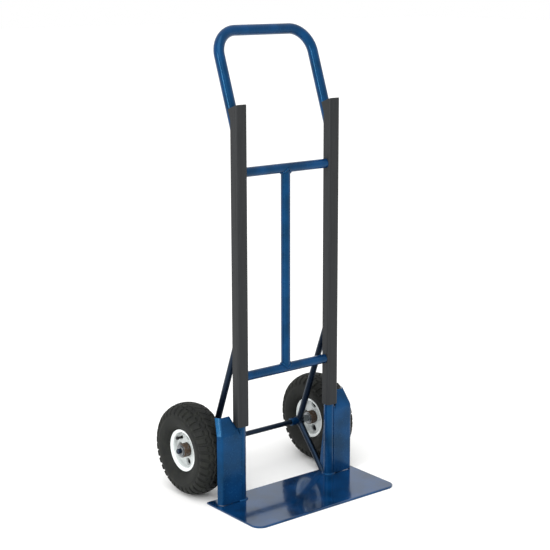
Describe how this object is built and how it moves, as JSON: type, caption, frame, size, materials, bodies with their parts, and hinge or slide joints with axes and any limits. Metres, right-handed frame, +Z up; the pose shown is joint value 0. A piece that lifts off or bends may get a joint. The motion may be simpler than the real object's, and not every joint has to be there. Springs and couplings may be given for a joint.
{
  "type": "hand truck",
  "caption": "Upright two-wheel hand truck: bent tube frame with a loop handle, dark upright covers, braced axle, pneumatic wheels, wheel guards and a flat toe plate.",
  "frame": {"origin": "on the floor at the toe plate's underside, midway between the uprights and in their common plane", "axes": "+Z up along the uprights, +X to the right seen from the front and along the axle, the toe plate points towards -Y"},
  "size_m": [0.539, 0.4477, 1.258],
  "materials": {
    "blue_enamel": "gloss baked enamel",
    "black_enamel": "satin dark enamel",
    "cover_plastic": "matte moulded plastic",
    "tyre_rubber": "moulded tread rubber",
    "tube_rubber": "smooth butyl rubber",
    "rim_enamel": "light gloss enamel on pressed steel",
    "hub_steel": "turned steel with a film of grease",
    "bearing_steel": "ground steel",
    "zinc_plate": "bright zinc plate",
    "cap_plastic": "moulded plastic"
  },
  "bodies": {
    "frame": {"frame_tube": "blue_enamel", "upper_crossbar": "blue_enamel", "lower_crossbar": "blue_enamel", "centre_strut": "blue_enamel", "toe_plate": "blue_enamel", "left_upright_cover": "cover_plastic", "left_wheel_guard": "blue_enamel", "left_upper_brace": "black_enamel", "left_lower_brace": "black_enamel", "left_foot_gusset": "blue_enamel", "left_axle_boss": "blue_enamel", "left_axle_spacer": "zinc_plate", "left_axle_washers": "zinc_plate", "left_split_pin": "zinc_plate", "right_upright_cover": "cover_plastic", "right_wheel_guard": "blue_enamel", "right_upper_brace": "black_enamel", "right_lower_brace": "black_enamel", "right_foot_gusset": "blue_enamel", "right_axle_boss": "blue_enamel", "right_axle_spacer": "zinc_plate", "right_axle_washers": "zinc_plate", "right_split_pin": "zinc_plate", "axle": "black_enamel", "left_outboard_bearing_inner_ring": "bearing_steel", "left_inboard_bearing_inner_ring": "bearing_steel", "right_outboard_bearing_inner_ring": "bearing_steel", "right_inboard_bearing_inner_ring": "bearing_steel"},
    "left_wheel": {"left_tyre": "tyre_rubber", "left_inner_tube": "tube_rubber", "left_rim_outer_half": "rim_enamel", "left_rim_inner_half": "rim_enamel", "left_hub": "hub_steel", "left_rim_bolts": "zinc_plate", "left_rim_nuts": "zinc_plate", "left_valve_stem": "tube_rubber", "left_valve_cap": "cap_plastic", "left_outboard_bearing_outer_ring": "bearing_steel", "left_outboard_bearing_balls": "bearing_steel", "left_inboard_bearing_outer_ring": "bearing_steel", "left_inboard_bearing_balls": "bearing_steel"},
    "right_wheel": {"right_tyre": "tyre_rubber", "right_inner_tube": "tube_rubber", "right_rim_outer_half": "rim_enamel", "right_rim_inner_half": "rim_enamel", "right_hub": "hub_steel", "right_rim_bolts": "zinc_plate", "right_rim_nuts": "zinc_plate", "right_valve_stem": "tube_rubber", "right_valve_cap": "cap_plastic", "right_outboard_bearing_outer_ring": "bearing_steel", "right_outboard_bearing_balls": "bearing_steel", "right_inboard_bearing_outer_ring": "bearing_steel", "right_inboard_bearing_balls": "bearing_steel"}
  },
  "joints": [
    {"name": "left_wheel_spin", "type": "hinge", "parent": "frame", "child": "left_wheel", "pos_m": [-0.2227, 0.1317, 0.127], "axis": [1, 0, 0], "continuous": true},
    {"name": "right_wheel_spin", "type": "hinge", "parent": "frame", "child": "right_wheel", "pos_m": [0.2227, 0.1317, 0.127], "axis": [1, 0, 0], "continuous": true}
  ]
}
